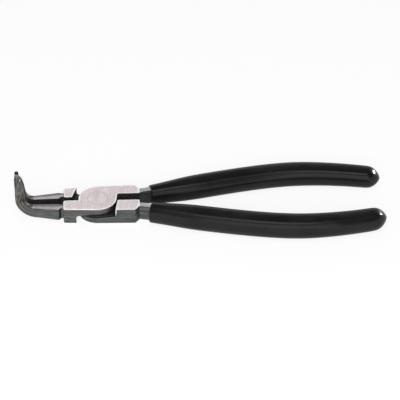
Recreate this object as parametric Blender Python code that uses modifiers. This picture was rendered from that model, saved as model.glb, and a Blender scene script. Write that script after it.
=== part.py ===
"""Circlip pliers for internal retaining rings, with jaws bent up through 90 degrees.

The jaws point to -X and bend up to +Z, and the handles run to +X.  The pivot is the Z axis, and
z = 0 is the ground underside of the joint.  The pliers are closed.  Both halves are the same
forging, the lower one turned over about the X axis, apart from its jaw, which also bends up.
"""
import math

import bmesh
import bpy
from mathutils import Matrix, Vector
from mathutils.geometry import interpolate_bezier

MM = 0.001

# Joint: each half keeps a lap plate under or over the middle plane of a slot milled across it
JOINT_THICKNESS = 7.8 * MM
LAP_GAP = 0.3 * MM
DISC_RADIUS = 8.6 * MM
SLOT_EAR_WALL = 11.4 * MM       # from the pivot to the slot's wall at the jaw
SLOT_EAR_TILT = math.radians(16)  # of that wall from the Y axis
SLOT_EAR_FILLET = 1.2 * MM
SLOT_SHOULDER_WALL = 9.05 * MM  # from the pivot to its wall at the handle
SLOT_SHOULDER_TILT = math.radians(7.7)
SLOT_SHOULDER_FILLET = 0.6 * MM
LAP_CHAMFER = 1.0 * MM
FACE_CHAMFER = 0.18 * MM

# Ear: the flat root of the jaw, beside the joint, measured from the pivot
EAR_END = 15.3 * MM
EAR_INNER = 1.2 * MM
EAR_OUTER = 7.75 * MM
EAR_CORNER = 1.0 * MM

# Shoulder: the flat root of the handle, measured from the pivot
SHOULDER_END = 18.9 * MM
SHOULDER_INNER = 1.73 * MM
SHOULDER_OUTER = 9.1 * MM
SHOULDER_BEVEL_LENGTH = 2.2 * MM
SHOULDER_BEVEL_DEPTH = 2.9 * MM
SHOULDER_CORNER = 1.0 * MM
STRIP_STEP = 1.3 * MM           # by which the lap plate is narrower than the shoulder under it
STRIP_ROOT = 0.2 * MM           # from the disc to the cut that makes the step
STRIP_CORNER = 0.9 * MM

# Jaw: a straight shank, a bend and a leg that tapers to a thin round tip
SHANK_START = 17.9 * MM         # from the pivot, where the shank is widest
SHANK_TOP = 3.5 * MM            # heights count from the middle plane of the joint
SHANK_BOTTOM = 3.7 * MM
SHANK_WIDTH = 3.8 * MM
SHANK_OFFSET = 4.1 * MM         # of its middle from the plane between the jaws
WAIST_WIDTH = 2.3 * MM
WAIST_POSITION = 16.3 * MM
WAIST_RAMP = 1.1 * MM           # length over which the waist opens out into the shank
WAIST_RISE = 0.5 * MM           # of its underside above the shank's
BEND_START = 28.4 * MM          # of the inner curve
BEND_OUTER_START = 26.7 * MM
BEND_TOP = 3.1 * MM
BEND_WIDTH = 2.6 * MM
BEND_OFFSET = 3.2 * MM
BEND_OUTER_RADIUS = 9.8 * MM
BEND_INNER_RADIUS = 3.8 * MM
BEND_DEPTH = 6.2 * MM           # of the shank where the bend starts
LEG_OFFSET = 1.65 * MM
LEG_WIDTH = 2.3 * MM
LEG_MIDDLE = 11.8 * MM
LEG_MIDDLE_DEPTH = 3.9 * MM
LEG_NECK = 15.3 * MM
LEG_NECK_DEPTH = 3.0 * MM
LEG_END = 16.35 * MM
LEG_END_SIZE = 2.15 * MM
TIP_OFFSET = 1.25 * MM          # of the tip from the plane between the jaws
TIP_DIAMETER = 1.8 * MM
TIP_LENGTH = 2.2 * MM
TIP_CHAMFER = 0.3 * MM
TIP_ROOT = 1.5 * MM             # of the tip's length inside the leg
JAW_CHAMFER = 0.28              # of its edges, as a share of the jaw's width
SHANK_HEEL_CHAMFER = 0.12       # the same under the shank, where the edges are sharper

# Handle: the middle line of neck and tang, seen from above, as two Bezier spans
HANDLE_START_X = 17.5 * MM
HANDLE_START_Y = 4.8 * MM
HANDLE_START_PULL_X = 25.8 * MM
HANDLE_START_PULL_Y = 5.9 * MM
HANDLE_BULGE_X = 92.1 * MM
HANDLE_BULGE_Y = 19.1 * MM
HANDLE_BULGE_PULL_IN = 19.2 * MM
HANDLE_BULGE_PULL_OUT = 11.7 * MM
HANDLE_END_X = 128.5 * MM
HANDLE_END_Y = 14.3 * MM
HANDLE_END_PULL_X = 11.3 * MM
HANDLE_END_PULL_Y = -2.8 * MM

# Neck, tang and the sleeve dipped over them
NECK_WIDTH = 2.9 * MM
NECK_HEIGHT = 7.6 * MM
NECK_CORNER = 0.45 * MM
MOUTH_POSITION = 23.3 * MM      # where the sleeve begins, from the pivot
MOUTH_WIDTH = 9.4 * MM
MOUTH_WALL = 0.85 * MM          # of the sleeve over and under the neck
SWELL_LENGTH = 24.0 * MM        # over which neck and mouth grow to full size
TANG_WIDTH = 8.5 * MM
TANG_THINNING = 1.6 * MM        # by which the tang is lower than the neck
TANG_END_WIDTH = 7.5 * MM
TANG_END_THINNING = 2.4 * MM
TANG_CORNER = 1.8 * MM
GRIP_WALL = 1.7 * MM            # of the sleeve round the tang
GRIP_TAPER = 45.0 * MM          # length of the narrowing towards the end
GRIP_CORNER = 0.9               # corner radius as a share of the most that fits
NOSE_LENGTH = 5.2 * MM          # of the rounded end
NOSE_FULLNESS = 1.6             # 2 is an ellipse, 1 a cone
MOUTH_ROUNDING = 0.8 * MM
LIP_SHARES = (0.0, 0.15, 0.5)   # of the mouth's rounding, where its sections stand
SLEEVE_CLEARANCE = 0.25 * MM
TANG_SETBACK = 3.4 * MM         # of the steel's end from the sleeve's

# Rivet: a shaft with a countersunk head ground flush with each face
RIVET_RADIUS = 3.0 * MM
RIVET_HEAD_RADIUS = 4.5 * MM
RIVET_HEAD_DEPTH = 1.3 * MM
RUNNING_CLEARANCE = 0.05 * MM

# Fineness of round stretches
DISC_STEP = math.radians(6)
CORNER_STEP = math.radians(15)
RIVET_SEGMENTS = 64
TIP_SEGMENTS = 32
BEND_STEPS = 14
FILLET_STEPS = 4
START_SPAN_STEPS = 24
END_SPAN_STEPS = 12
HANDLE_STEPS = 30
NOSE_STEPS = 8
TANG_END_STEPS = 4
SLEEVE_CORNER_STEPS = 6
TANG_CORNER_STEPS = 3

SMOOTH_ANGLE = math.radians(24)  # facets that meet at less are shaded as one surface
EDGE_ANGLE = math.radians(30)    # from which an edge counts as one to chamfer
FLAT_ANGLE = math.radians(0.5)   # up to which facets are merged into one
SAME_POINT = 0.001 * MM
SAME_HEIGHT = 0.01 * MM
MOST_CORNER = 0.499              # of a side, so that the corners of a section stay apart
CUT_MARGIN = 1.0 * MM            # by which a cutter reaches past what it cuts

MID_HEIGHT = JOINT_THICKNESS / 2
MATERIALS = {
    "upper_half": ((0.46, 0.45, 0.44), 0.38, 1.0),
    "lower_half": ((0.46, 0.45, 0.44), 0.38, 1.0),
    "pivot_rivet": ((0.52, 0.50, 0.49), 0.35, 1.0),
    "grip_upper": ((0.018, 0.018, 0.018), 0.42, 0.0),
    "grip_lower": ((0.018, 0.018, 0.018), 0.42, 0.0),
}


def arc(centre, radius, start, end, step):
    """Points along an arc in the XY plane, both ends included."""
    count = max(2, math.ceil(abs(end - start) / step))
    angles = [start + (end - start) * i / count for i in range(count + 1)]
    return [centre + radius * Vector((math.cos(a), math.sin(a))) for a in angles]


def rounded(previous, corner, following, radius):
    """The corner between two straight edges, as an arc that meets both."""
    back = (previous - corner).normalized()
    ahead = (following - corner).normalized()
    half = back.angle(ahead) / 2
    reach = min(radius / math.tan(half), (previous - corner).length / 2, (following - corner).length / 2)
    radius = reach * math.tan(half)
    centre = corner + (back + ahead).normalized() * radius / math.sin(half)
    first = corner + back * reach - centre
    last = corner + ahead * reach - centre
    turn = first.angle_signed(last)
    start = math.atan2(first.y, first.x)
    return arc(centre, radius, start, start - turn, CORNER_STEP)


def polygon(corners):
    """An outline from (point, corner radius) pairs; a radius of 0 keeps a point as it is."""
    outline = []
    for i, (point, radius) in enumerate(corners):
        if radius > 0:
            outline += rounded(corners[i - 1][0], point, corners[(i + 1) % len(corners)][0], radius)
        else:
            outline.append(point)
    return outline


def tangent_angle(point, radius, side):
    """Angle at which the line from a point touches a circle round the origin, on the given side."""
    return math.atan2(point.y, point.x) + side * math.acos(radius / point.length)


def add_object(name, mesh):
    """Links a new object for a mesh at the scene's origin."""
    obj = bpy.data.objects.new(name, mesh)
    bpy.context.scene.collection.objects.link(obj)
    return obj


def mesh_object(name, bm):
    """Turns a bmesh into an object with its faces pointing out."""
    bmesh.ops.recalc_face_normals(bm, faces=bm.faces)
    mesh = bpy.data.meshes.new(name)
    bm.to_mesh(mesh)
    bm.free()
    return add_object(name, mesh)


def flatten(obj):
    """Replaces an object's mesh by its evaluated one and clears its modifiers."""
    graph = bpy.context.evaluated_depsgraph_get()
    mesh = bpy.data.meshes.new_from_object(obj.evaluated_get(graph), depsgraph=graph)
    if obj.type == "CURVE":
        name, place = obj.name, obj.matrix_world.copy()
        bpy.data.objects.remove(obj)
        solid = add_object(name, mesh)
        solid.matrix_world = place
        return solid
    obj.modifiers.clear()
    obj.data = mesh
    return obj


def boolean(target, tool, operation):
    """Joins a tool to the target, or cuts it out, and removes the tool."""
    modifier = target.modifiers.new(tool.name, "BOOLEAN")
    modifier.operation = operation
    modifier.object = tool
    modifier.solver = "EXACT"
    flatten(target)
    bpy.data.objects.remove(tool)


def plate(name, outline, low, high):
    """A flat piece with an outline seen from above, between two heights."""
    curve = bpy.data.curves.new(name, "CURVE")
    curve.dimensions = "2D"
    curve.fill_mode = "BOTH"
    curve.extrude = (high - low) / 2
    spline = curve.splines.new("POLY")
    spline.points.add(len(outline) - 1)
    for spot, point in zip(spline.points, outline):
        spot.co = (point.x, point.y, 0.0, 1.0)
    spline.use_cyclic_u = True
    blank = add_object(name, curve)
    blank.location.z = (low + high) / 2
    bpy.context.view_layer.update()
    solid = flatten(blank)
    solid.data.transform(solid.matrix_world)
    solid.matrix_world = Matrix.Identity(4)
    bm = bmesh.new()
    bm.from_mesh(solid.data)
    bmesh.ops.remove_doubles(bm, verts=bm.verts, dist=SAME_POINT)
    bmesh.ops.dissolve_limit(bm, angle_limit=FLAT_ANGLE, verts=bm.verts, edges=bm.edges)
    bmesh.ops.recalc_face_normals(bm, faces=bm.faces)
    bm.to_mesh(solid.data)
    bm.free()
    return solid


def loft(name, rings):
    """A closed solid through rings that all have the same number of points."""
    bm = bmesh.new()
    loops = [[bm.verts.new(point) for point in ring] for ring in rings]
    for one, two in zip(loops, loops[1:]):
        for i in range(len(one)):
            j = (i + 1) % len(one)
            bm.faces.new((one[i], one[j], two[j], two[i]))
    bm.faces.new(loops[0])
    bm.faces.new(loops[-1])
    return mesh_object(name, bm)


def section(width, height, radius, steps):
    """A rectangle with rounded corners, or chamfered ones with one step, as (across, up) pairs."""
    radius = min(radius, MOST_CORNER * width, MOST_CORNER * height)
    points = []
    for quarter, (side, up) in enumerate(((1, 1), (-1, 1), (-1, -1), (1, -1))):
        centre = Vector((side * (width / 2 - radius), up * (height / 2 - radius)))
        for i in range(steps + 1):
            angle = math.pi / 2 * (quarter + i / steps)
            points.append(centre + radius * Vector((math.cos(angle), math.sin(angle))))
    return points


def turned(name, profile):
    """A round solid about the Z axis from (radius, height) points that run from top to bottom."""
    mesh = bpy.data.meshes.new(name)
    mesh.from_pydata([(r, 0.0, z) for r, z in profile], [(i, i + 1) for i in range(len(profile) - 1)], [])
    obj = add_object(name, mesh)
    screw = obj.modifiers.new("turn", "SCREW")
    screw.steps = screw.render_steps = RIVET_SEGMENTS
    screw.use_merge_vertices = True
    screw.merge_threshold = SAME_POINT
    return flatten(obj)


def chamfer(obj, height, width):
    """Chamfers the outer edges of an object's flat at one height."""
    bm = bmesh.new()
    bm.from_mesh(obj.data)
    bmesh.ops.remove_doubles(bm, verts=bm.verts, dist=SAME_POINT)
    bmesh.ops.dissolve_limit(bm, angle_limit=FLAT_ANGLE, verts=bm.verts, edges=bm.edges)
    edges = [
        edge
        for edge in bm.edges
        if all(abs(vert.co.z - height) < SAME_HEIGHT for vert in edge.verts)
        and edge.calc_face_angle_signed(0.0) > EDGE_ANGLE
    ]
    bmesh.ops.bevel(bm, geom=edges, offset=width, segments=1, affect="EDGES", clamp_overlap=False)
    bm.to_mesh(obj.data)
    bm.free()


def blank_outline():
    """Outline of a half from above, before the slot is milled: ear, disc and shoulder."""
    ear_corner = Vector((-EAR_END, -EAR_OUTER))
    shoulder_corner = Vector((SHOULDER_END - SHOULDER_BEVEL_LENGTH, SHOULDER_OUTER))
    near = tangent_angle(ear_corner, DISC_RADIUS, 1)
    far = tangent_angle(shoulder_corner, DISC_RADIUS, 1)
    root = math.pi + math.asin(EAR_INNER / DISC_RADIUS)
    origin = Vector((0.0, 0.0))
    shape = [
        (ear_corner, EAR_CORNER),
        *((point, 0.0) for point in arc(origin, DISC_RADIUS, near, 0.0, DISC_STEP)),
        (Vector((DISC_RADIUS + STRIP_ROOT, SHOULDER_INNER)), 0.0),
        (Vector((SHOULDER_END, SHOULDER_INNER)), SHOULDER_CORNER),
        (Vector((SHOULDER_END, SHOULDER_OUTER - SHOULDER_BEVEL_DEPTH)), SHOULDER_CORNER),
        (shoulder_corner, SHOULDER_CORNER),
        *((point, 0.0) for point in arc(origin, DISC_RADIUS, far, root, DISC_STEP)),
        (Vector((-EAR_END, -EAR_INNER)), EAR_CORNER),
    ]
    return polygon(shape)


def slot_cutter():
    """The slot across the joint: all below the lap plane between two tilted walls."""
    corners = []
    for distance, tilt in ((SLOT_SHOULDER_WALL, SLOT_SHOULDER_TILT), (-SLOT_EAR_WALL, SLOT_EAR_TILT)):
        across = Vector((math.cos(tilt), math.sin(tilt)))
        foot = across * distance
        along = Vector((-across.y, across.x)) * math.copysign(SHOULDER_OUTER + EAR_END, distance)
        corners += [foot - along, foot + along]
    slot = plate("slot", corners, -MID_HEIGHT - CUT_MARGIN, LAP_GAP / 2)
    bm = bmesh.new()
    bm.from_mesh(slot.data)
    for side, fillet in ((-1, SLOT_EAR_FILLET), (1, SLOT_SHOULDER_FILLET)):
        top = [edge for edge in bm.edges if all(vert.co.z > 0 for vert in edge.verts)]
        wall = max(top, key=lambda edge: side * sum(vert.co.x for vert in edge.verts))
        bmesh.ops.bevel(bm, geom=[wall], offset=fillet, segments=FILLET_STEPS, profile=0.5, affect="EDGES")
    bm.to_mesh(slot.data)
    bm.free()
    return slot


def strip_cutter():
    """What makes the lap plate narrower than the shoulder, along its edge beside the other half."""
    left = DISC_RADIUS + STRIP_ROOT
    right = SHOULDER_END + CUT_MARGIN
    low = -CUT_MARGIN
    high = SHOULDER_INNER + STRIP_STEP
    corners = [
        (Vector((left, low)), 0.0),
        (Vector((right, low)), 0.0),
        (Vector((right, high)), 0.0),
        (Vector((left, high)), STRIP_CORNER),
    ]
    return plate("strip", polygon(corners), -LAP_GAP / 2, MID_HEIGHT + CUT_MARGIN)


def jaw_stations():
    """Sections along the jaw as (outer point, inner point, offset, width, outer chamfer's share)."""
    outer_centre = Vector((-BEND_OUTER_START, BEND_TOP - BEND_DEPTH + BEND_OUTER_RADIUS))
    inner_centre = Vector((-BEND_START, BEND_TOP + BEND_INNER_RADIUS))
    root = EAR_END - CUT_MARGIN
    stations = [
        (Vector((-x, rise - SHANK_BOTTOM)), Vector((-x, SHANK_TOP)), SHANK_OFFSET, width, SHANK_HEEL_CHAMFER)
        for x, rise, width in (
            (root, WAIST_RISE, WAIST_WIDTH),
            (WAIST_POSITION, WAIST_RISE, WAIST_WIDTH),
            (WAIST_POSITION + WAIST_RAMP, 0.0, SHANK_WIDTH),
            (SHANK_START, 0.0, SHANK_WIDTH),
        )
    ]
    for i in range(BEND_STEPS + 1):
        share = i / BEND_STEPS
        angle = math.pi / 2 * share
        turn = Vector((-math.sin(angle), -math.cos(angle)))
        stations.append((
            outer_centre + BEND_OUTER_RADIUS * turn,
            inner_centre + BEND_INNER_RADIUS * turn,
            BEND_OFFSET,
            BEND_WIDTH + (LEG_WIDTH - BEND_WIDTH) * share,
            SHANK_HEEL_CHAMFER + (JAW_CHAMFER - SHANK_HEEL_CHAMFER) * min(2 * share, 1.0),
        ))
    front = -BEND_OUTER_START - BEND_OUTER_RADIUS
    tip_x = front + LEG_END_SIZE / 2
    for height, depth, offset, width in (
        (LEG_MIDDLE, LEG_MIDDLE_DEPTH, LEG_OFFSET, LEG_WIDTH),
        (LEG_NECK, LEG_NECK_DEPTH, TIP_OFFSET, LEG_WIDTH),
        (LEG_END, LEG_END_SIZE, TIP_OFFSET, LEG_END_SIZE),
    ):
        outer, inner = Vector((front, height)), Vector((front + depth, height))
        stations.append((outer, inner, offset, width, JAW_CHAMFER))
    return stations, tip_x


def jaw(bend):
    """The jaw of a half, bent towards +Z for bend 1 and -Z for bend -1."""
    stations, tip_x = jaw_stations()
    rings = []
    for outer, inner, offset, width, heel_share in stations:
        depth = (inner - outer).length
        up = (inner - outer).normalized()
        top, heel = JAW_CHAMFER * width, heel_share * width
        ring = []
        for side, height in ((1, heel), (1, depth - top), (-1, depth - top), (-1, heel)):
            edge = (side * width / 2, height)
            cut = heel if height == heel else top
            flat = (side * (width / 2 - cut), 0.0 if height == heel else depth)
            ring += [flat, edge] if (side > 0) == (height == heel) else [edge, flat]
        spots = [(outer + up * height, across) for across, height in ring]
        rings.append([(spot.x, -offset + across, bend * spot.y) for spot, across in spots])
    shank = loft("jaw", rings)
    bm = bmesh.new()
    length = TIP_LENGTH + TIP_ROOT
    radius = TIP_DIAMETER / 2
    bmesh.ops.create_cone(
        bm, cap_ends=True, segments=TIP_SEGMENTS, radius1=radius, radius2=radius, depth=length
    )
    rim = [edge for edge in bm.edges if all(vert.co.z * bend > 0 for vert in edge.verts)]
    bmesh.ops.bevel(bm, geom=rim, offset=TIP_CHAMFER, segments=2, affect="EDGES")
    middle = LEG_END + TIP_LENGTH - length / 2
    bmesh.ops.translate(bm, verts=bm.verts, vec=(tip_x, -TIP_OFFSET, bend * middle))
    boolean(shank, mesh_object("tip", bm), "UNION")
    return shank


def ease(share):
    """A smooth step from 0 to 1."""
    share = min(max(share, 0.0), 1.0)
    return share * share * (3 - 2 * share)


def handle_line():
    """The handle's middle line from above, as points a few millimetres apart."""
    start = Vector((HANDLE_START_X, HANDLE_START_Y))
    bulge = Vector((HANDLE_BULGE_X, HANDLE_BULGE_Y))
    end = Vector((HANDLE_END_X, HANDLE_END_Y))
    start_pull = start + Vector((HANDLE_START_PULL_X, HANDLE_START_PULL_Y))
    pull_in = bulge - Vector((HANDLE_BULGE_PULL_IN, 0.0))
    pull_out = bulge + Vector((HANDLE_BULGE_PULL_OUT, 0.0))
    end_pull = end - Vector((HANDLE_END_PULL_X, HANDLE_END_PULL_Y))
    first = interpolate_bezier(start, start_pull, pull_in, bulge, START_SPAN_STEPS)
    second = interpolate_bezier(bulge, pull_out, end_pull, end, END_SPAN_STEPS)
    return first + second[1:]


def lengthwise(points):
    """Distance of each point from the first, along the line."""
    total = 0.0
    distances = [0.0]
    for one, two in zip(points, points[1:]):
        total += (two - one).length
        distances.append(total)
    return distances


def at_distance(points, distances, where):
    """Point and direction of a line at a distance from its start."""
    index = 0
    while index < len(points) - 2 and distances[index + 1] < where:
        index += 1
    run = points[index + 1] - points[index]
    share = (where - distances[index]) / run.length
    return points[index] + run * share, run.normalized()


def along_handle(distances, sizes, steps):
    """Rings across the handle at the given distances, each with the size that a function gives."""
    points = handle_line()
    marks = lengthwise(points)
    rings = []
    for where in distances:
        spot, ahead = at_distance(points, marks, where)
        side = Vector((-ahead.y, ahead.x))
        width, height, radius = sizes(where)
        ring = []
        for across, up in section(width, height, radius, steps):
            foot = spot + side * across
            ring.append((foot.x, foot.y, up))
        rings.append(ring)
    return rings


def handle_length():
    """Length of the middle line."""
    return lengthwise(handle_line())[-1]


def mouth_distance():
    """Distance along the middle line at which the sleeve begins."""
    points = handle_line()
    marks = lengthwise(points)
    index = next(i for i, point in enumerate(points) if point.x >= MOUTH_POSITION)
    share = (MOUTH_POSITION - points[index - 1].x) / (points[index].x - points[index - 1].x)
    return marks[index - 1] + share * (marks[index] - marks[index - 1])


def grip_size(where):
    """Full width and height of the sleeve, without its rounded ends."""
    swell = ease((where - mouth_distance()) / SWELL_LENGTH)
    narrow = ease((where - handle_length() + GRIP_TAPER) / GRIP_TAPER)
    full_width = TANG_WIDTH + 2 * GRIP_WALL
    full_height = NECK_HEIGHT - TANG_THINNING + 2 * GRIP_WALL
    mouth_height = NECK_HEIGHT + 2 * MOUTH_WALL
    width = MOUTH_WIDTH + (full_width - MOUTH_WIDTH) * swell - (TANG_WIDTH - TANG_END_WIDTH) * narrow
    height = mouth_height + (full_height - mouth_height) * swell
    height -= (TANG_END_THINNING - TANG_THINNING) * narrow
    return width, height


def sleeve_size(where):
    """Size of the sleeve's outside, with its rounded mouth and nose."""
    width, height = grip_size(where)
    into_nose = max(where - handle_length() + NOSE_LENGTH, 0.0) / NOSE_LENGTH
    into_mouth = max(mouth_distance() + MOUTH_ROUNDING - where, 0.0) / MOUTH_ROUNDING
    nose = max(1 - into_nose ** NOSE_FULLNESS, 0.0) ** (1 / NOSE_FULLNESS)
    lip = MOUTH_ROUNDING * (1 - math.sqrt(max(1 - into_mouth ** 2, 0.0)))
    width, height = width * nose - lip, height * nose - lip
    return width, height, GRIP_CORNER * min(width, height) / 2


def tang_size(where):
    """Size of the steel inside: the neck, then the tang with its own blunt end."""
    width, height = grip_size(where)
    swell = ease((where - mouth_distance()) / SWELL_LENGTH)
    narrowing = ease((where - tang_end() + NOSE_LENGTH) / NOSE_LENGTH) * GRIP_WALL
    width = NECK_WIDTH + (width - 2 * GRIP_WALL - NECK_WIDTH) * swell - narrowing
    height = NECK_HEIGHT + (height - 2 * GRIP_WALL - NECK_HEIGHT) * swell - narrowing
    radius = NECK_CORNER + (TANG_CORNER - NECK_CORNER) * swell
    return width, height, radius


def tang_end():
    """Distance along the middle line at which the steel ends inside the sleeve."""
    return handle_length() - TANG_SETBACK


def pocket_size(where):
    """Size of the hollow in the sleeve: the steel and a clearance all round."""
    width, height, radius = tang_size(where)
    return width + 2 * SLEEVE_CLEARANCE, height + 2 * SLEEVE_CLEARANCE, radius + SLEEVE_CLEARANCE


def spread(start, end, count):
    """Evenly spread distances, both ends included."""
    return [start + (end - start) * i / count for i in range(count + 1)]


def tang():
    """Neck and tang of a half."""
    end = tang_end()
    distances = spread(0.0, end - NOSE_LENGTH, HANDLE_STEPS)
    distances += spread(end - NOSE_LENGTH, end, TANG_END_STEPS)[1:]
    return loft("tang", along_handle(distances, tang_size, TANG_CORNER_STEPS))


def sleeve(name):
    """The dipped sleeve: a rounded skin with a pocket for the tang, open at the mouth."""
    start = mouth_distance()
    end = handle_length()
    lip = [start + MOUTH_ROUNDING * share for share in LIP_SHARES]
    body = spread(start + MOUTH_ROUNDING, end - NOSE_LENGTH, HANDLE_STEPS)
    turns = spread(0.0, math.pi / 2, NOSE_STEPS)[1:-1]
    nose = [end - NOSE_LENGTH * (1 - math.sin(turn)) for turn in turns] + [end - SAME_HEIGHT]
    outside = loft(name, along_handle(lip + body + nose, sleeve_size, SLEEVE_CORNER_STEPS))
    pocket_end = tang_end()
    inside = spread(start - CUT_MARGIN, pocket_end - NOSE_LENGTH, HANDLE_STEPS)
    inside += spread(pocket_end - NOSE_LENGTH, pocket_end, TANG_END_STEPS)[1:]
    inside.append(pocket_end + SLEEVE_CLEARANCE)
    pocket = loft("pocket", along_handle(inside, pocket_size, TANG_CORNER_STEPS))
    boolean(outside, pocket, "DIFFERENCE")
    return outside


def rivet_profile(clearance, reach):
    """Profile of rivet or seat, top to bottom, grown by a clearance and running past the faces."""
    shaft = RIVET_RADIUS + clearance
    head = RIVET_HEAD_RADIUS + clearance
    top = MID_HEIGHT
    neck = MID_HEIGHT - RIVET_HEAD_DEPTH
    half = [(0.0, top + reach), (head, top + reach), (head, top), (shaft, neck)]
    if reach == 0:
        del half[1]
    return half + [(radius, -height) for radius, height in reversed(half)]


def forging(name, turned_over):
    """One half of the pliers in its own frame, with the middle plane of the joint at z = 0."""
    half = plate(name, blank_outline(), -MID_HEIGHT, MID_HEIGHT)
    boolean(half, slot_cutter(), "DIFFERENCE")
    boolean(half, strip_cutter(), "DIFFERENCE")
    chamfer(half, LAP_GAP / 2, LAP_CHAMFER)
    chamfer(half, MID_HEIGHT, FACE_CHAMFER)
    chamfer(half, -MID_HEIGHT, FACE_CHAMFER)
    boolean(half, jaw(-1 if turned_over else 1), "UNION")
    boolean(half, tang(), "UNION")
    boolean(half, turned("seat", rivet_profile(RUNNING_CLEARANCE, CUT_MARGIN)), "DIFFERENCE")
    return half


def finish(obj, turned_over, home):
    """Moves a piece to its place, gives it its material and files it with the others."""
    turn = Matrix.Rotation(math.pi if turned_over else 0.0, 4, "X")
    obj.data.transform(Matrix.Translation((0.0, 0.0, MID_HEIGHT)) @ turn)
    obj.data.shade_smooth()
    obj.data.set_sharp_from_angle(angle=SMOOTH_ANGLE)
    colour, roughness, metallic = MATERIALS[obj.name]
    material = bpy.data.materials.new(obj.name)
    material.use_nodes = True
    shader = material.node_tree.nodes["Principled BSDF"]
    shader.inputs["Base Color"].default_value = (*colour, 1.0)
    shader.inputs["Roughness"].default_value = roughness
    shader.inputs["Metallic"].default_value = metallic
    obj.data.materials.clear()
    obj.data.materials.append(material)
    bpy.context.scene.collection.objects.unlink(obj)
    home.objects.link(obj)


def main():
    """Builds the pliers."""
    for obj in list(bpy.data.objects):
        bpy.data.objects.remove(obj, do_unlink=True)
    home = bpy.data.collections.new("circlip_pliers")
    bpy.context.scene.collection.children.link(home)
    for label, turned_over in (("upper", False), ("lower", True)):
        finish(forging(label + "_half", turned_over), turned_over, home)
        finish(sleeve("grip_" + label), turned_over, home)
    finish(turned("pivot_rivet", rivet_profile(0.0, 0.0)), False, home)


main()
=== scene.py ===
"""Bent circlip pliers: two forged halves, a flush rivet and two dipped plastic sleeves.

The shapes follow the packed model.  Each piece is a merged copy of its CAD node.  The steel pieces
get rounded edges and faces sorted by finish: ground, polished, linished, filed or left dark.  Some
finishes are painted light.  The polished rims and the near tip's end carry painted highlights, and
the shank tops carry a painted sheen.  The joint's recesses and the far tip carry painted shade.
The blackened sides are painted darker low in the joint and just under the ground faces.  The
sleeves are smoothed.  Lengths are in metres.
"""
import math

import bmesh
import bpy
from mathutils import Matrix, Vector


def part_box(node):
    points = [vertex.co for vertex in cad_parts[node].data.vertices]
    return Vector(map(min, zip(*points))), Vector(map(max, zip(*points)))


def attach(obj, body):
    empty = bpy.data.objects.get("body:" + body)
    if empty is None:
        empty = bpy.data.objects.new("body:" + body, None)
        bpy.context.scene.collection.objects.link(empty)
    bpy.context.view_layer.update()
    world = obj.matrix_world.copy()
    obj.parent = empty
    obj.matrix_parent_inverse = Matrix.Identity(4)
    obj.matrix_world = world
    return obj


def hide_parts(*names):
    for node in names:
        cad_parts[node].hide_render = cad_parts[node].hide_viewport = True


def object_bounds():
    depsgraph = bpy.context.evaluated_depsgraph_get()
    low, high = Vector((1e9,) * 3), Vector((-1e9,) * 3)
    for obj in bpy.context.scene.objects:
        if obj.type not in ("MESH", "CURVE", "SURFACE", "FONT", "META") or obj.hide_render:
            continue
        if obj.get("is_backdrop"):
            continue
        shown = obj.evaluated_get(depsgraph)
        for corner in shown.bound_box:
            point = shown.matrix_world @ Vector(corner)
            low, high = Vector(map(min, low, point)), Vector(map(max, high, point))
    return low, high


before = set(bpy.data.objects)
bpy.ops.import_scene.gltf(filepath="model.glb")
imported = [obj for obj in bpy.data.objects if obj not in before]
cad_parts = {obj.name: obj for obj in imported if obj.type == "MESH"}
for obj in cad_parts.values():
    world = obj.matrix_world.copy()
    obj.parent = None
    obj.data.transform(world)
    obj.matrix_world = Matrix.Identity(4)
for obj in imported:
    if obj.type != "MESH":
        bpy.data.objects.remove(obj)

bl_info = {
    "name": "Bent Circlip Pliers",
    "version": (1, 0, 0),
    "blender": (4, 5, 0),
    "location": "3D View > Sidebar > Pliers",
    "description": "Dresses bent circlip pliers in ground and blackened steel with dipped sleeves",
    "category": "Object",
}

MM = 0.001
SAME_POINT = 0.002 * MM
SAME_PLANE = math.radians(0.6)
JOIN_ANGLE = math.radians(40)   # between triangles that are joined to quads on the sleeves
LAMP_DISTANCE = 1.2
LAMP_AIM_X = 45.0 * MM          # middle of the tool, which the lamps look at
FLOOR_HALF = 3.0
FLOOR_GAP = 0.02 * MM
WALL_BLEND = 0.07               # soft step from the white surround to the dark ceiling
JOINT_UNDERSIDE, JOINT_FACE = (corner.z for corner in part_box("pivot_rivet"))
MID_HEIGHT = (JOINT_UNDERSIDE + JOINT_FACE) / 2
TIP_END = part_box("upper_half")[1].z
BEND_CENTRE_X = -27.5 * MM      # of the curve on which each jaw turns up
BEND_CENTRE_Z = MID_HEIGHT + 6.9 * MM
EAR_X = -15.5 * MM              # where ears and shoulders end, along the tool
SHOULDER_X = 19.1 * MM
WAIST_X = -17.6 * MM            # where the waists between ears and shanks end
FLATS_X = -29.0 * MM            # where the dressed tops of the shanks end
INNER_X = -29.5 * MM            # where the flat inner sides of the shanks end
INNER_TOP = MID_HEIGHT + 2.0 * MM
INNER_DEPTH = 9.0 * MM          # how far from the bend's middle the dark inner side goes on
PIN_LENGTH = 2.0 * MM           # of the round ends of the tips
LAP_BAND = 1.4 * MM             # faces this near to mid-height lie in the lap
DISC_EDGE = 8.7 * MM            # beyond it, from the pivot, lie the walls of the slots
SLOT_HALF = 8.5 * MM
CORNER_START, CORNER_END = 7.0 * MM, 9.5 * MM    # range of the slots' corners along the tool
CORNER_SIDE = 8.3 * MM          # beyond it, from the middle of the tool, they lie
CORNER_HEIGHT = 1.5 * MM        # the least height of their edges
CORNER_LEAN = 0.2 * MM          # the most that these edges lean over
RIVET_EDGE = 5.4 * MM           # inside it, the ground faces keep no polished margin
RIM_POLISH = 0.12               # how much less rough the polished margins are
RING_REACH = 1.5 * MM           # points this near along a sleeve lie in one section
TOP_WAY = (0.61, 0.79)          # share of back and up in the way to a sleeve's upper outline
NOSE_RAMP = 0.4                 # share of a sleeve's end over which its slant sets in

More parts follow.
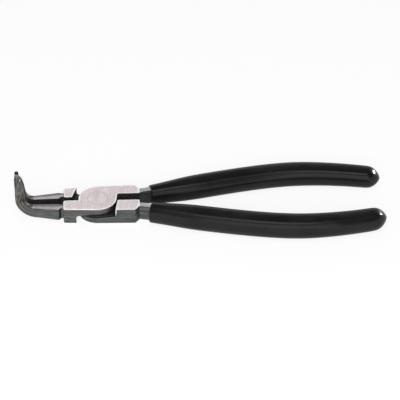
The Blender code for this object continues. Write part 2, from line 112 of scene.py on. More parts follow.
# Parts of a face's normal along an axis, from which the face is called this.
LEVEL = 0.98
SQUARE = 0.9
FACING = 0.7
SLOPING = 0.4
LEANING = 0.05
CHAMFER = (0.4, 0.95)           # range of a chamfer's upward part
CHAMFER_REACH = 0.2 * MM        # how far the middle of a chamfer may lie from its ground face
GROUND_REACH = 0.02 * MM        # and the middle of a face that was ground

# Places of the finishes in STEEL_FINISHES.  The near tip's end and the rims are painted highlights,
# the shank tops a painted sheen, and the far tip and the recesses painted shade.
GROUND, NEAR_TIP_HIGHLIGHT, SHANK_TOP_SHEEN, DARK, TIP, NECK_TOP, RECESS_SHADE, LEG, RIM = range(9)


class Wire:
    """An output of a node, which sums and products can be written with."""

    def __init__(self, recipe, socket):
        self.recipe = recipe
        self.socket = socket

    def math(self, operation, *values):
        """A Math node over this wire and other values."""
        return self.recipe.node("Math", {"operation": operation}, dict(enumerate((self, *values))))

    def __add__(self, other):
        return self.math("ADD", other)

    __radd__ = __add__

    def __mul__(self, other):
        return self.math("MULTIPLY", other)

    __rmul__ = __mul__

    def __sub__(self, other):
        return self.math("SUBTRACT", other)

    def __rsub__(self, other):
        return self.recipe.node("Math", {"operation": "SUBTRACT"}, {0: other, 1: self})

    def __pow__(self, other):
        return self.math("POWER", other)


class Recipe:
    """The nodes of one material or of the world."""

    def __init__(self, owner):
        owner.use_nodes = True
        self.tree = owner.node_tree
        self.tree.nodes.clear()

    def node(self, kind, settings=None, values=None, output=0):
        """Adds a node, sets it up, fills its sockets and gives back one of its outputs."""
        made = self.tree.nodes.new("ShaderNode" + kind)
        for name, value in (settings or {}).items():
            if name == "stops":
                while len(made.color_ramp.elements) < len(value):
                    made.color_ramp.elements.new(1.0)
                for element, (position, colour) in zip(made.color_ramp.elements, value):
                    element.position = position
                    element.color = colour
            else:
                setattr(made, name, value)
        for name, value in (values or {}).items():
            if isinstance(value, Wire):
                self.tree.links.new(value.socket, made.inputs[name])
            else:
                made.inputs[name].default_value = value
        return Wire(self, made.outputs[output]) if made.outputs else None

    def place(self, stretch=(1.0, 1.0, 1.0), turn=0.0):
        """Object coordinates, stretched along the axes and turned about Z."""
        coordinates = self.node("TexCoord", output="Object")
        turned = self.node("Mapping", {"vector_type": "POINT"},
                           {"Vector": coordinates, "Rotation": (0.0, 0.0, turn)})
        return self.node("Mapping", {"vector_type": "POINT"}, {"Vector": turned, "Scale": stretch})

    def axis(self, name):
        """One of the Object coordinates as a number."""
        return self.node("SeparateXYZ", None, {0: self.node("TexCoord", output="Object")}, name)

    def along_jaw(self):
        """Coordinates that follow a bent jaw, as depth, place across and a slow run along it."""
        x, y, z = (self.axis(name) for name in "XYZ")
        ahead = (x - BEND_CENTRE_X).math("MINIMUM", 0.0)
        below = (z - BEND_CENTRE_Z).math("MINIMUM", 0.0)
        depth = (ahead * ahead + below * below) ** 0.5
        return self.node("CombineXYZ", None, {0: depth, 1: y, 2: (x - z) * 0.04})

    def noise(self, where, size, detail=3.0, roughness=0.5, distortion=0.0):
        """Noise from 0 to 1 whose features are about the given size."""
        return self.node("TexNoise", None, {
            "Vector": where, "Scale": 1 / size, "Detail": detail,
            "Roughness": roughness, "Distortion": distortion,
        }, "Fac")

    def between(self, value, low, high):
        """A value cut to a range and spread to 0 to 1, with soft ends."""
        return self.node("MapRange", {"interpolation_type": "SMOOTHSTEP"},
                         {"Value": value, "From Min": low, "From Max": high})

    def mix(self, share, one, two):
        """A colour between two."""
        return self.node("Mix", {"data_type": "RGBA"}, {0: share, 6: one, 7: two}, 2)

    def bump(self, height, depth, strength=1.0, normal=None):
        """A normal from a height of 0 to 1 that stands for a real depth."""
        values = {"Height": height, "Distance": depth, "Strength": strength}
        if normal is not None:
            values["Normal"] = normal
        return self.node("Bump", None, values)

    def surface(self, shader):
        """Makes a shader the surface."""
        self.node("OutputMaterial", None, {"Surface": shader})


def rgba(colour, factor=1.0):
    """A colour, made darker or lighter by a factor, with full cover."""
    return (*(min(channel * factor, 1.0) for channel in colour), 1.0)


def new_material(name):
    """An empty material and its recipe."""
    material = bpy.data.materials.new(name)
    return material, Recipe(material)


def ground_steel(settings):
    """Flat faces off the surface grinder: pale steel with fine lines across the tool."""
    return surface_ground(
        "ground_steel", settings.ground_colour, settings.ground_roughness, metallic=0.46)


def ground_rim_highlight(settings):
    """Margins and chamfers of the ground faces and the slots' corners, polished and painted near
    white as a highlight.
    """
    return surface_ground(
        "ground_rim_highlight", settings.rim_highlight_colour, settings.ground_roughness - RIM_POLISH, metallic=0.15)


def surface_ground(name, tint, roughness, metallic):
    """Pale steel with the fine lines of a grinding wheel."""
    material, r = new_material(name)
    lines = r.noise(r.place((1.0, 0.035, 0.2), math.radians(7)), 0.16 * MM, 4.0, 0.65)
    bands = r.noise(r.place((1.0, 0.10, 0.3), math.radians(7)), 0.9 * MM, 3.0, 0.6)
    cloud = r.noise(r.place(), 5.0 * MM, 3.0, 0.55)
    tone = r.between(lines * 0.45 + bands * 0.4 + cloud * 0.25, 0.38, 0.72)
    colour = r.mix(tone, rgba(tint, 0.78), rgba(tint, 1.06))
    shine = lines * 0.16 + cloud * 0.10 + (roughness - 0.13)
    normal = r.bump(lines * 0.7 + bands * 0.3, 0.004 * MM)
    r.surface(r.node("BsdfPrincipled", None, {
        "Base Color": colour, "Metallic": metallic, "Roughness": shine, "Normal": normal,
    }))
    return material


def near_tip_highlight(settings):
    """Flat end of the near tip, painted bright in patches as a painted highlight."""
    material, r = new_material("near_tip_highlight")
    patches = r.noise(r.place(), 1.6 * MM, 4.0, 0.6)
    fine = r.noise(r.place(), 0.12 * MM, 2.0)
    tone = r.between(patches * 0.75 + fine * 0.25, 0.36, 0.62)
    colour = r.mix(tone, rgba(settings.near_tip_highlight_colour, 0.62), rgba(settings.near_tip_highlight_colour))
    r.surface(r.node("BsdfPrincipled", None, {
        "Base Color": colour, "Metallic": 1.0, "Roughness": 0.48 - tone * 0.14,
        "Normal": r.bump(fine, 0.003 * MM),
    }))
    return material


def shank_top_sheen(settings):
    """Tops of the shanks with belt lines along the tool, painted lighter than the sides as a sheen
    of the light from above.
    """
    return linished_steel("shank_top_sheen", settings.linished_sheen_colour)


def neck_top(settings):
    """Tops of the necks, dressed brighter."""
    return linished_steel("neck_top", settings.neck_colour)


def linished_steel(name, tint):
    """Steel with the long fine lines of a belt."""
    material, r = new_material(name)
    lines = r.noise(r.place((0.06, 1.0, 0.4)), 0.2 * MM, 4.0, 0.6)
    cloud = r.noise(r.place((0.5, 1.0, 1.0)), 2.2 * MM, 3.0, 0.6)
    tone = r.between(lines * 0.5 + cloud * 0.5, 0.36, 0.66)
    colour = r.mix(tone, rgba(tint, 0.66), rgba(tint))
    r.surface(r.node("BsdfPrincipled", None, {
        "Base Color": colour, "Metallic": 0.8, "Roughness": lines * 0.14 + 0.30,
        "Normal": r.bump(lines, 0.005 * MM),
    }))
    return material


def dark_steel(settings):
    """Forged sides with a dark phosphate skin, mottled and slightly gritty, with painted shade low
    in the joint and under the ground faces.
    """
    material, r = new_material("dark_steel")
    mottle = r.noise(r.place(), 2.4 * MM, 4.0, 0.6, 0.4)
    grain = r.noise(r.place(), 0.22 * MM, 3.0, 0.6)
    rub = r.noise(r.place((0.05, 0.05, 1.0)), 0.60 * MM, 4.0, 0.6)
    warm = r.between(r.noise(r.place((0.2, 0.2, 1.0)), 1.8 * MM, 3.0), 0.52, 0.70)
    tone = r.between(mottle * 0.2 + grain * 0.15 + rub * 0.65, 0.38, 0.62)
    colour = r.mix(tone, rgba(settings.dark_colour, 0.60), rgba(settings.dark_colour, 1.46))
    colour = r.mix(warm * 0.35, colour, rgba(settings.warm_colour))
    behind = r.between(r.axis("X"), -8.0 * MM, 10.0 * MM)
    ahead = 1.0 - behind
    up = r.axis("Z")
    rusty = ahead * r.between(up, 3.2 * MM, 5.5 * MM)
    colour = r.mix(rusty * 0.3, colour, rgba(settings.warm_colour))
    # Painted shade: darker low down, from the ears on towards the handles.
    low_shade = (1.0 - r.between(up, 1.5 * MM, 5.0 * MM)) * behind
    colour = r.mix(low_shade * 0.35, colour, rgba(settings.dark_colour, 0.55))
    # Painted shade: a darker, warm band just under the ground faces.
    shade_below_rim = r.between(up, JOINT_FACE - 1.1 * MM, JOINT_FACE - 0.3 * MM)
    colour = r.mix(shade_below_rim * 0.4, colour, rgba(settings.warm_colour, 0.55))
    normal = r.bump(grain, 0.010 * MM)
    normal = r.bump(mottle, 0.05 * MM, 0.6, normal)
    r.surface(r.node("BsdfPrincipled", None, {
        "Base Color": colour, "Metallic": 0.9, "Roughness": 0.52 - tone * 0.14, "Normal": normal,
    }))
    return material


def recess_shade(settings):
    """Walls and floors inside the joint and sides facing the other half, painted near black as
    painted shade.
    """
    material, r = new_material("recess_shade")
    shade_noise = r.noise(r.place(), 1.1 * MM, 4.0, 0.6)
    tone = r.between(shade_noise, 0.40, 0.70)
    colour = r.mix(tone, rgba(settings.recess_shade_colour), rgba(settings.recess_shade_colour, 2.2))
    r.surface(r.node("BsdfPrincipled", None, {
        "Base Color": colour, "Roughness": tone * 0.12 + 0.44, "Specular IOR Level": 0.06,
        "Normal": r.bump(shade_noise, 0.02 * MM),
    }))
    return material


def leg_steel(settings):
    """Bent legs and shank sides, filed along their length over a brownish skin."""
    material, r = new_material("leg_steel")
    along = r.along_jaw()
    strokes = r.noise(along, 0.62 * MM, 2.0, 0.5)
    fine = r.noise(along, 0.16 * MM, 3.0, 0.6)
    cloud = r.noise(r.place(), 3.0 * MM, 3.0, 0.55)
    tone = r.between(strokes * 0.6 + fine * 0.2 + cloud * 0.2, 0.38, 0.60)
    up = r.axis("Z")
    raised = r.between(up, MID_HEIGHT - 2.0 * MM, MID_HEIGHT + 5.0 * MM)
    skin = r.mix(raised, rgba(settings.dark_colour), rgba(settings.leg_colour))
    contrast = r.between(up, MID_HEIGHT + 1.0 * MM, MID_HEIGHT + 7.0 * MM) * 0.75 + 0.2
    spread = (tone - 0.5) * contrast * 2.0 + 1.0
    colour = r.node("Mix", {"data_type": "RGBA", "blend_type": "MULTIPLY"}, {
        0: 1.0, 6: skin, 7: r.node("CombineXYZ", None, {0: spread, 1: spread, 2: spread}),
    }, 2)
    warm = r.between(r.noise(r.place(), 4.0 * MM, 2.0), 0.48, 0.66)
    colour = r.mix(warm * raised * 0.4, colour, rgba(settings.warm_colour))
    normal = r.bump(strokes * 0.7 + fine * 0.3, 0.02 * MM)
    r.surface(r.node("BsdfPrincipled", None, {
        "Base Color": colour, "Metallic": 0.9, "Roughness": 0.46 - tone * 0.12, "Normal": normal,
    }))
    return material


def far_tip_shade(settings):
    """Hardened far tip, painted nearly black as painted shade, rubbed lighter in places."""
    material, r = new_material("far_tip_shade")
    rub = r.noise(r.place((1.0, 1.0, 0.4)), 0.8 * MM, 3.0, 0.6)
    tone = r.between(rub, 0.45, 0.70)
    colour = r.mix(tone, rgba(settings.far_tip_shade_colour), rgba(settings.far_tip_shade_colour, 3.0))
    turned = r.noise(r.place((0.2, 0.2, 1.0)), 0.12 * MM, 2.0)
    r.surface(r.node("BsdfPrincipled", None, {
        "Base Color": colour, "Metallic": 0.9, "Roughness": 0.36 + tone * 0.1,
        "Normal": r.bump(turned, 0.004 * MM),
    }))
    return material


def dipped_plastic(settings):
    """Soft black plastic with the faint ripple and pores of a dipped skin."""
    material, r = new_material("dipped_plastic")
    ripple = r.noise(r.place((0.35, 1.0, 1.0)), 3.2 * MM, 2.0, 0.5)
    peel = r.noise(r.place(), 0.55 * MM, 2.0, 0.5)
    smudge = r.noise(r.place((0.4, 1.0, 1.0)), 9.0 * MM, 4.0, 0.6)
    pores = r.between(r.noise(r.place(), 0.18 * MM, 1.0), 0.66, 0.76)
    tone = r.between(smudge, 0.38, 0.68)
    colour = r.mix(tone, rgba(settings.plastic_colour), rgba(settings.plastic_colour, 1.7))
    shine = tone * 0.10 + pores * 0.15 + (settings.plastic_roughness - 0.05)
    normal = r.bump(ripple, 0.06 * MM, 0.8)
    normal = r.bump(peel - pores * 0.6, 0.008 * MM, 1.0, normal)
    r.surface(r.node("BsdfPrincipled", None, {
        "Base Color": colour, "Roughness": shine, "Specular IOR Level": 0.22, "Normal": normal,
    }))
    return material


def merged_copy(node):
    """The mesh of a CAD node as a bmesh with shared corners and whole flat faces."""
    bm = bmesh.new()
    bm.from_mesh(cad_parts[node].data)
    bmesh.ops.remove_doubles(bm, verts=bm.verts, dist=SAME_POINT)
    bmesh.ops.dissolve_limit(bm, angle_limit=SAME_PLANE, verts=bm.verts, edges=bm.edges)
    return bm


def finished_piece(name, bm, node, body, materials):
    """Turns a bmesh into the piece that stands for a CAD node and rides on its body."""
    mesh = bpy.data.meshes.new(name)
    bm.to_mesh(mesh)
    bm.free()
    for material in materials:
        mesh.materials.append(material)
    mesh.shade_smooth()
    piece = bpy.data.objects.new(name, mesh)
    bpy.context.scene.collection.objects.link(piece)
    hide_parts(node)
    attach(piece, body)
    return piece


def steel_finish(face):
    """Which finish a face of a half has, as the place of its material in STEEL_FINISHES."""
    middle = face.calc_center_median()
    tilt = face.normal.z
    inward = -math.copysign(1.0, middle.y) * face.normal.y
    if EAR_X < middle.x < SHOULDER_X:
        return joint_finish(face, middle, abs(tilt), inward)
    if middle.x > 0:
        return NECK_TOP if abs(tilt) > SQUARE else DARK
    if middle.z > TIP_END - PIN_LENGTH:
        # Painted shade: the far tip is painted near black, though both tips are the same steel.
        if middle.y > 0:
            return TIP
        # Painted highlight: the near tip's flat end is painted bright.
        return NEAR_TIP_HIGHLIGHT if tilt > SQUARE else LEG
    # Painted shade: waist faces that face the ears are painted near black.
    if middle.x > WAIST_X and abs(tilt) < SLOPING:
        return RECESS_SHADE if face.normal.x > 0.2 else DARK
    depth = math.hypot(min(middle.x - BEND_CENTRE_X, 0.0), min(middle.z - BEND_CENTRE_Z, 0.0))
    flat_side = middle.x > INNER_X or depth < INNER_DEPTH
    # Painted shade: inner sides that face the other half are painted near black.
    if inward > FACING and middle.z < INNER_TOP and flat_side:
        return RECESS_SHADE
    # Painted sheen: the upward tops of the shanks are painted lighter.
    if middle.x > FLATS_X and tilt > SLOPING and middle.z > MID_HEIGHT:
        return SHANK_TOP_SHEEN
    return LEG


def joint_finish(face, middle, level, inward):
    """The finish of a face between the ends of the ears and of the shoulders."""
    to_face = min(abs(middle.z - JOINT_FACE), abs(middle.z - JOINT_UNDERSIDE))
    if level > LEVEL and to_face < GROUND_REACH:
        return GROUND
    # Painted highlight: chamfers get the near-white rim colour.
    if CHAMFER[0] < level < CHAMFER[1] and to_face < CHAMFER_REACH:
        return RIM
    in_lap = abs(middle.z - MID_HEIGHT) < LAP_BAND and level > LEANING
    in_slot = math.hypot(middle.x, middle.y) > DISC_EDGE and abs(middle.y) < SLOT_HALF
    # Painted shade: lap faces, inward faces and slot walls are painted near black.
    if in_lap or inward > FACING or (in_slot and abs(face.normal.x) > SQUARE):
        return RECESS_SHADE
    return DARK


STEEL_FINISHES = (
    ground_steel, near_tip_highlight, shank_top_sheen, dark_steel, far_tip_shade, neck_top, recess_shade, leg_steel,
    ground_rim_highlight)


class SteelSettings(bpy.types.PropertyGroup):
    """Sizes and colours of the forged halves."""

    edge_round: bpy.props.FloatProperty(
        name="Edge Round", description="Width of the rounding of sharp edges",
        default=0.14 * MM, min=0.02 * MM, max=0.4 * MM, precision=5, unit="LENGTH")
    rim_width: bpy.props.FloatProperty(
        name="Rim Width", description="Width of the polished margin of the ground faces",
        default=0.45 * MM, min=0.05 * MM, max=1.0 * MM, precision=5, unit="LENGTH")
    # Painted highlight: the near-white colour of the polished rims, chamfers and corners.
    rim_highlight_colour: bpy.props.FloatVectorProperty(
        name="Ground Rim", description="Colour of polished margins, chamfers and corners", size=3,
        default=(0.99, 0.95, 0.95), min=0.0, max=1.0, subtype="COLOR")
    # The rounding at the slots' corners is painted bright as a highlight.
    corner_highlight_round: bpy.props.FloatProperty(
        name="Rubbed Round", description="Width of the bright rounding at the slots' corners",
        default=0.5 * MM, min=0.02 * MM, max=0.8 * MM, precision=5, unit="LENGTH")
    rivet_round: bpy.props.FloatProperty(
        name="Rivet Round", description="Width of the rounding of the rivet's edges",
        default=0.06 * MM, min=0.01 * MM, max=0.2 * MM, precision=5, unit="LENGTH")
    edge_steps: bpy.props.IntProperty(
        name="Edge Steps", description="Facets across a rounded edge", default=2, min=1, max=4)
    edge_angle: bpy.props.FloatProperty(
        name="Edge Angle", description="Angle from which an edge is rounded",
        default=math.radians(32), subtype="ANGLE", unit="ROTATION")
    ground_colour: bpy.props.FloatVectorProperty(
        name="Ground Steel", description="Colour of the ground faces", size=3,
        default=(0.94, 0.835, 0.845), min=0.0, max=1.0, subtype="COLOR")
    ground_roughness: bpy.props.FloatProperty(
        name="Ground Roughness", description="Roughness of the ground faces",
        default=0.48, min=0.05, max=1.0, subtype="FACTOR")
    # Painted highlight on the near tip's end.
    near_tip_highlight_colour: bpy.props.FloatVectorProperty(
        name="Worn Edge", description="Colour of the near tip's rubbed end", size=3,
        default=(0.74, 0.72, 0.71), min=0.0, max=1.0, subtype="COLOR")
    # Painted sheen: the lighter colour of the shank tops.
    linished_sheen_colour: bpy.props.FloatVectorProperty(
        name="Linished Steel", description="Colour of the dressed tops of the shanks", size=3,
        default=(0.42, 0.38, 0.39), min=0.0, max=1.0, subtype="COLOR")
    neck_colour: bpy.props.FloatVectorProperty(
        name="Neck Steel", description="Colour of the dressed tops of the necks", size=3,
        default=(0.92, 0.85, 0.87), min=0.0, max=1.0, subtype="COLOR")
    dark_colour: bpy.props.FloatVectorProperty(
        name="Dark Steel", description="Colour of the blackened sides", size=3,
        default=(0.116, 0.126, 0.122), min=0.0, max=1.0, subtype="COLOR")
    warm_colour: bpy.props.FloatVectorProperty(
        name="Warm Steel", description="Brownish patches of the blackened sides", size=3,
        default=(0.180, 0.148, 0.136), min=0.0, max=1.0, subtype="COLOR")
    leg_colour: bpy.props.FloatVectorProperty(
        name="Leg Steel", description="Colour of the bent legs and of the shanks' sides", size=3,
        default=(0.109, 0.112, 0.096), min=0.0, max=1.0, subtype="COLOR")
    # Painted shade inside the joint and between the halves.
    recess_shade_colour: bpy.props.FloatVectorProperty(
        name="Recess", description="Colour of the oily walls inside the joint", size=3,
        default=(0.0125, 0.0138, 0.0132), min=0.0, max=1.0, subtype="COLOR")
    # Painted shade: the far tip's near-black colour.
    far_tip_shade_colour: bpy.props.FloatVectorProperty(
        name="Tip Steel", description="Colour of the hardened tips", size=3,
        default=(0.035, 0.035, 0.036), min=0.0, max=1.0, subtype="COLOR")


class GripSettings(bpy.types.PropertyGroup):
    """Sizes and colours of the dipped sleeves."""

    plastic_colour: bpy.props.FloatVectorProperty(
        name="Plastic", description="Colour of the dipped plastic", size=3,
        default=(0.006, 0.006, 0.0063), min=0.0, max=1.0, subtype="COLOR")
    plastic_roughness: bpy.props.FloatProperty(
        name="Plastic Roughness", description="Roughness of the dipped plastic",
        default=0.22, min=0.05, max=1.0, subtype="FACTOR")
    mouth_end: bpy.props.FloatProperty(
        name="Mouth End", description="Place along the tool up to which the mouth is moved",
        default=25.0 * MM, precision=5, unit="LENGTH")
    mouth_shift: bpy.props.FloatProperty(
        name="Mouth Shift", description="How far the mouth is trimmed back",
        default=0.4 * MM, precision=5, unit="LENGTH")
    thin_end: bpy.props.FloatProperty(
        name="Thin End", description="Place along the tool at which the mouths' thinning ends",
        default=38.0 * MM, precision=5, unit="LENGTH")
    upper_thinning: bpy.props.FloatVectorProperty(
        name="Upper Thinning", size=2,
        description="How much is taken off the upper sleeve's mouth, above and below",
        default=(0.35 * MM, 0.50 * MM), precision=5, unit="LENGTH")
    lower_thinning: bpy.props.FloatVectorProperty(
        name="Lower Thinning", size=2,
        description="How much is taken off the lower sleeve's mouth, above and below",
        default=(0.30 * MM, 0.0), precision=5, unit="LENGTH")
    nose_length: bpy.props.FloatProperty(
        name="Nose Length", description="Length of the sleeves' ends that is set straight",
        default=7.0 * MM, precision=5, unit="LENGTH")
    nose_slant: bpy.props.FloatVectorProperty(
        name="Nose Slant", size=2, default=(-0.07, 0.16),
        description="Slant of the ends of the upper and the lower sleeve")
    nose_shift: bpy.props.FloatVectorProperty(
        name="Nose Shift", size=2,
        description="How far the ends of the upper and the lower sleeve are moved",
        default=(0.4 * MM, -0.1 * MM), precision=5, unit="LENGTH")
    smoothing: bpy.props.IntProperty(
        name="Smoothing", description="Subdivision steps of the sleeves", default=1, min=0, max=3)


class StageSettings(bpy.types.PropertyGroup):
    """Camera, floor and light."""

    elevation: bpy.props.FloatProperty(
        name="Elevation", description="Height of the camera above the horizon",
        default=math.radians(38.0), subtype="ANGLE", unit="ROTATION")
    azimuth: bpy.props.FloatProperty(
        name="Azimuth", description="Turn of the camera about the pivot",
        default=math.radians(-2.433), subtype="ANGLE", unit="ROTATION")
    distance: bpy.props.FloatProperty(
        name="Distance", description="Distance of the camera from the pivot, along its view",
        default=0.755394, unit="LENGTH")
    aim_right: bpy.props.FloatProperty(
        name="Aim Right", description="How far the view's middle lies to the right of the pivot",
        default=0.045877, precision=5, unit="LENGTH")
    aim_up: bpy.props.FloatProperty(
        name="Aim Up", description="How far the view's middle lies above the pivot",
        default=0.002123, precision=5, unit="LENGTH")
    lens: bpy.props.FloatProperty(
        name="Lens", description="Focal length of the camera in millimetres",
        default=151.27, subtype="DISTANCE_CAMERA")
    floor_colour: bpy.props.FloatVectorProperty(
        name="Floor", description="Colour of the floor", size=3,
        default=(0.95, 0.95, 0.95), min=0.0, max=1.0, subtype="COLOR")
    shadow: bpy.props.FloatProperty(
        name="Shadow", description="Share of the floor that shows its own shading",
        default=0.18, min=0.0, max=1.0, subtype="FACTOR")
    floor_mirror: bpy.props.FloatProperty(
        name="Floor Mirror", description="Share of plain white in the floor's reflection",
        default=0.15, min=0.0, max=1.0, subtype="FACTOR")
    wall_height: bpy.props.FloatProperty(
        name="Wall Height", description="Height up to which the surround is white",
        default=math.radians(29.0), subtype="ANGLE", unit="ROTATION")
    ceiling: bpy.props.FloatProperty(
        name="Ceiling", description="Brightness of the studio overhead, beside 1 at the horizon",
        default=0.12, min=0.0, max=1.0)
    fill: bpy.props.FloatProperty(
        name="Fill", description="Brightness of the fill lamp, which leaves no reflection",
        default=4.5, min=0.0)
    overhead: bpy.props.FloatProperty(
        name="Overhead", description="Brightness of the softbox overhead", default=2.3, min=0.0)
    front: bpy.props.FloatProperty(
        name="Front", description="Brightness of the softbox at the camera's side",
        default=1.5, min=0.0)
    glint: bpy.props.FloatProperty(
        name="Glint", description="Brightness of the small lamp that lights the sleeves' ends",
        default=60.0, min=0.0)


class PLIERS_OT_forged_halves(bpy.types.Operator):
    """Rounds the edges of both forged halves and gives each face its finish"""

    bl_idname = "pliers.forged_halves"
    bl_label = "Forged Halves"

    def execute(self, context):
        settings = context.scene.pliers_steel
        materials = [make(settings) for make in STEEL_FINISHES]
        for label in ("upper", "lower"):
            node = label + "_half"
            bm = merged_copy(node)
            for face in bm.faces:
                face.material_index = steel_finish(face)
            self.polish_and_highlight_rims(bm, settings)
            self.round_edges(bm, settings)
            piece = finished_piece("forged_" + node, bm, node, label, materials)
            piece.modifiers.new("flat_faces", "WEIGHTED_NORMAL")
        return {"FINISHED"}

    def polish_and_highlight_rims(self, bm, settings):
        """Sets off a narrow margin along the outlines of the ground faces, painted bright as a
        highlight.
        """
        ground = [face for face in bm.faces if face.material_index == GROUND]
        made = bmesh.ops.inset_region(
            bm, faces=ground, thickness=settings.rim_width, use_even_offset=True, use_boundary=True)
        for face in made["faces"]:
            middle = face.calc_center_median()
            if math.hypot(middle.x, middle.y) > RIVET_EDGE:
                face.material_index = RIM

    def round_edges(self, bm, settings):
        """Rounds all sharp edges, and rounds the slots' upright corners wider and paints them
        bright as a highlight.
        """
        plain = [edge for edge in self.sharp_edges(bm, settings) if not self.is_slot_corner(edge)]
        bmesh.ops.bevel(
            bm, geom=plain, offset=settings.edge_round, segments=settings.edge_steps,
            profile=0.5, material=-1, affect="EDGES", clamp_overlap=False)
        rubbed = [edge for edge in self.sharp_edges(bm, settings) if self.is_slot_corner(edge)]
        made = bmesh.ops.bevel(
            bm, geom=rubbed, offset=settings.corner_highlight_round, segments=settings.edge_steps,
            profile=0.5, material=-1, affect="EDGES", clamp_overlap=False)
        # Painted highlight: the slots' corners get the near-white rim colour.
        for face in made["faces"]:
            face.material_index = RIM

    def sharp_edges(self, bm, settings):
        """The edges to round, which are all but those of the fine tips."""
        highest = TIP_END - 2 * PIN_LENGTH
        return [
            edge for edge in bm.edges
            if edge.calc_face_angle(0.0) > settings.edge_angle
            and max(vert.co.z for vert in edge.verts) < highest
        ]

    def is_slot_corner(self, edge):
        """Whether an edge is the upright corner between a shoulder's side and its slot wall."""
        one, two = (vert.co for vert in edge.verts)
        upright = abs(one.z - two.z) > CORNER_HEIGHT and (one.xy - two.xy).length < CORNER_LEAN
        middle = (one + two) / 2
        return upright and CORNER_START < middle.x < CORNER_END and abs(middle.y) > CORNER_SIDE


class PLIERS_OT_pivot_rivet(bpy.types.Operator):
    """Turns the flush rivet with a fine rim round each head"""

    bl_idname = "pliers.pivot_rivet"
    bl_label = "Pivot Rivet"

    def execute(self, context):
        settings = context.scene.pliers_steel
        bm = merged_copy("pivot_rivet")
        rims = [edge for edge in bm.edges if edge.calc_face_angle(0.0) > settings.edge_angle]
        bmesh.ops.bevel(
            bm, geom=rims, offset=settings.rivet_round, segments=settings.edge_steps,
            profile=0.5, material=-1, affect="EDGES", clamp_overlap=False)
        materials = [bpy.data.materials["ground_steel"]]
        piece = finished_piece("flush_rivet", bm, "pivot_rivet", "lower", materials)
        piece.modifiers.new("flat_faces", "WEIGHTED_NORMAL")
        return {"FINISHED"}


class PLIERS_OT_dipped_sleeves(bpy.types.Operator):
    """Smooths, trims and straightens both plastic sleeves"""

    bl_idname = "pliers.dipped_sleeves"
    bl_label = "Dipped Sleeves"

    def execute(self, context):
        settings = context.scene.pliers_grip
        material = dipped_plastic(settings)
        for label, thinning, slant, shift in zip(
                ("upper", "lower"), (settings.upper_thinning, settings.lower_thinning),
                settings.nose_slant, settings.nose_shift):
            node = "grip_" + label
            bm = bmesh.new()
            bm.from_mesh(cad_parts[node].data)
            bmesh.ops.remove_doubles(bm, verts=bm.verts, dist=SAME_POINT)
            bmesh.ops.join_triangles(
                bm, faces=bm.faces, angle_face_threshold=JOIN_ANGLE,
                angle_shape_threshold=JOIN_ANGLE)
            for vert in bm.verts:
                if vert.co.x < settings.mouth_end:
                    vert.co.x += settings.mouth_shift
            self.thin_mouth(bm, settings.thin_end, thinning)
            self.straighten_nose(bm, settings.nose_length, slant, shift)
            piece = finished_piece("sleeve_" + label, bm, node, label, [material])
            smooth = piece.modifiers.new("smooth", "SUBSURF")
            smooth.levels = smooth.render_levels = settings.smoothing
        return {"FINISHED"}

    def outward(self, verts, vert):
        """The way from the middle of the sleeve's section to a point, if the point is outside."""
        ring = [other.co for other in verts if abs(other.co.x - vert.co.x) < RING_REACH]
        way = vert.co - sum(ring, Vector()) / len(ring)
        way.x = 0.0
        return way.normalized() if vert.normal.dot(way) > 0 else None

    def thin_mouth(self, bm, end, thinning):
        """Takes a little off the outside of a sleeve above and below, fading from its mouth on."""
        bm.normal_update()
        near = [vert for vert in bm.verts if vert.co.x < end]
        start = min(vert.co.x for vert in near)
        ways = {vert: self.outward(near, vert) for vert in near}
        for vert, way in ways.items():
            if way is not None:
                rise = way.y * TOP_WAY[0] + way.z * TOP_WAY[1]
                depth = thinning[0] * rise if rise > 0 else -thinning[1] * rise
                vert.co -= way * depth * (end - vert.co.x) / (end - start)

    def straighten_nose(self, bm, length, slant, shift):
        """Slants and moves the end of a sleeve, the more the nearer a point lies to it."""
        end = max(vert.co.x for vert in bm.verts)
        nose = [vert for vert in bm.verts if vert.co.x > end - length]
        middle = sum(vert.co.y for vert in nose) / len(nose)
        for vert in nose:
            share = min((vert.co.x - end + length) / (length * NOSE_RAMP), 1.0)
            vert.co.x += share * (slant * (vert.co.y - middle) + shift)


def softbox(name, direction, size, brightness, lights=("diffuse", "glossy")):
    """A square lamp of a given brightness that looks at the middle of the tool from a direction."""
    lamp = bpy.data.lights.new(name, "AREA")
    lamp.size = size
    lamp.energy = brightness * math.pi * size ** 2
    holder = bpy.data.objects.new(name, lamp)
    bpy.context.scene.collection.objects.link(holder)
    away = Vector(direction).normalized()
    holder.location = Vector((LAMP_AIM_X, 0.0, MID_HEIGHT)) + away * LAMP_DISTANCE
    holder.rotation_euler = away.to_track_quat("Z", "Y").to_euler()
    holder.visible_diffuse = "diffuse" in lights
    holder.visible_glossy = "glossy" in lights


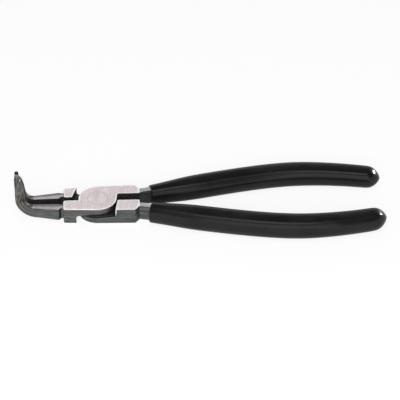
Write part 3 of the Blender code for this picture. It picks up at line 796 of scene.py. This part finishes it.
class PLIERS_OT_stage(bpy.types.Operator):
    """Sets up the white floor, the studio light and the camera"""

    bl_idname = "pliers.stage"
    bl_label = "Stage"

    def execute(self, context):
        settings = context.scene.pliers_stage
        self.lay_floor(settings)
        self.light_studio(settings)
        self.set_camera(context.scene, settings)
        context.scene.view_settings.view_transform = "Standard"
        return {"FINISHED"}

    def lay_floor(self, settings):
        """A wide white floor that keeps a faint shadow."""
        bm = bmesh.new()
        bmesh.ops.create_grid(bm, x_segments=1, y_segments=1, size=FLOOR_HALF)
        bmesh.ops.translate(bm, verts=bm.verts, vec=(0.0, 0.0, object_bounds()[0].z - FLOOR_GAP))
        mesh = bpy.data.meshes.new("floor")
        bm.to_mesh(mesh)
        bm.free()
        material, r = new_material("floor_white")
        camera, glossy, through = (
            r.node("LightPath", output="Is " + kind + " Ray")
            for kind in ("Camera", "Glossy", "Transmission"))
        matt = r.node("BsdfDiffuse", None, {"Color": rgba(settings.floor_colour)})
        glow = r.node("Emission", None, {"Color": (1.0, 1.0, 1.0, 1.0)})
        mirrored = (glossy + through) * settings.floor_mirror
        share = (camera * (1.0 - settings.shadow) + mirrored).math("MINIMUM", 1.0)
        r.surface(r.node("MixShader", None, {0: share, 1: matt, 2: glow}))
        mesh.materials.append(material)
        floor = bpy.data.objects.new("floor", mesh)
        bpy.context.scene.collection.objects.link(floor)
        floor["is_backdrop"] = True

    def light_studio(self, settings):
        """A surround that is white up to a low height, with softboxes above it."""
        world = bpy.data.worlds.new("studio")
        bpy.context.scene.world = world
        r = Recipe(world)
        wall_top = math.sin(settings.wall_height)
        overhead = r.between(r.axis("Z"), wall_top, wall_top + WALL_BLEND)
        strength = 1.0 - overhead * (1.0 - settings.ceiling)
        light = r.node("Background", None, {"Color": (1.0, 1.0, 1.0, 1.0), "Strength": strength})
        r.node("OutputWorld", None, {"Surface": light})
        softbox("fill", (-0.1, -1.0, 0.75), 0.9, settings.fill, ("diffuse",))
        softbox("overhead", (0.0, -0.05, 1.0), 0.52, settings.overhead)
        softbox("front", (0.0, -0.70, 0.72), 0.80, settings.front)
        softbox("right_back", (0.70, 0.66, 0.28), 0.18, settings.glint, ("glossy",))

    def set_camera(self, scene, settings):
        """The photograph's point of view."""
        turn, rise = settings.azimuth, settings.elevation
        level = Vector((math.sin(turn), -math.cos(turn), 0.0))
        back = level * math.cos(rise) + Vector((0.0, 0.0, math.sin(rise)))
        right = Vector((math.cos(turn), math.sin(turn), 0.0))
        up = back.cross(right)
        place = right * settings.aim_right + up * settings.aim_up + back * settings.distance
        place.z += MID_HEIGHT
        camera = bpy.data.cameras.new("camera")
        camera.sensor_width = 36.0
        camera.lens = settings.lens
        camera.clip_start = 0.05
        camera.clip_end = 20.0
        holder = bpy.data.objects.new("camera", camera)
        scene.collection.objects.link(holder)
        axes = Matrix((right, up, back)).transposed().to_4x4()
        holder.matrix_world = Matrix.Translation(place) @ axes
        scene.camera = holder


class PLIERS_PT_panel(bpy.types.Panel):
    """Lists the steps and their settings"""

    bl_idname = "PLIERS_PT_panel"
    bl_label = "Circlip Pliers"
    bl_space_type = "VIEW_3D"
    bl_region_type = "UI"
    bl_category = "Pliers"

    def draw(self, context):
        layout = self.layout
        for operator in OPERATORS:
            layout.operator(operator.bl_idname)
        for name, group in GROUPS.items():
            box = layout.box()
            box.label(text=group.__doc__)
            for prop in group.__annotations__:
                box.prop(getattr(context.scene, name), prop)


OPERATORS = (
    PLIERS_OT_forged_halves,
    PLIERS_OT_pivot_rivet,
    PLIERS_OT_dipped_sleeves,
    PLIERS_OT_stage,
)
GROUPS = {
    "pliers_steel": SteelSettings,
    "pliers_grip": GripSettings,
    "pliers_stage": StageSettings,
}


def register():
    """Registers the classes and hangs the settings on the scene."""
    for cls in (*GROUPS.values(), *OPERATORS, PLIERS_PT_panel):
        bpy.utils.register_class(cls)
    for name, group in GROUPS.items():
        setattr(bpy.types.Scene, name, bpy.props.PointerProperty(type=group))


def unregister():
    """Takes the settings and the classes away."""
    for name in GROUPS:
        delattr(bpy.types.Scene, name)
    for cls in reversed((*GROUPS.values(), *OPERATORS, PLIERS_PT_panel)):
        bpy.utils.unregister_class(cls)


def main():
    """Dresses the pliers."""
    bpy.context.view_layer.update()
    register()
    bpy.ops.pliers.forged_halves()
    bpy.ops.pliers.pivot_rivet()
    bpy.ops.pliers.dipped_sleeves()
    bpy.ops.pliers.stage()


if __name__ == "__main__":
    main()
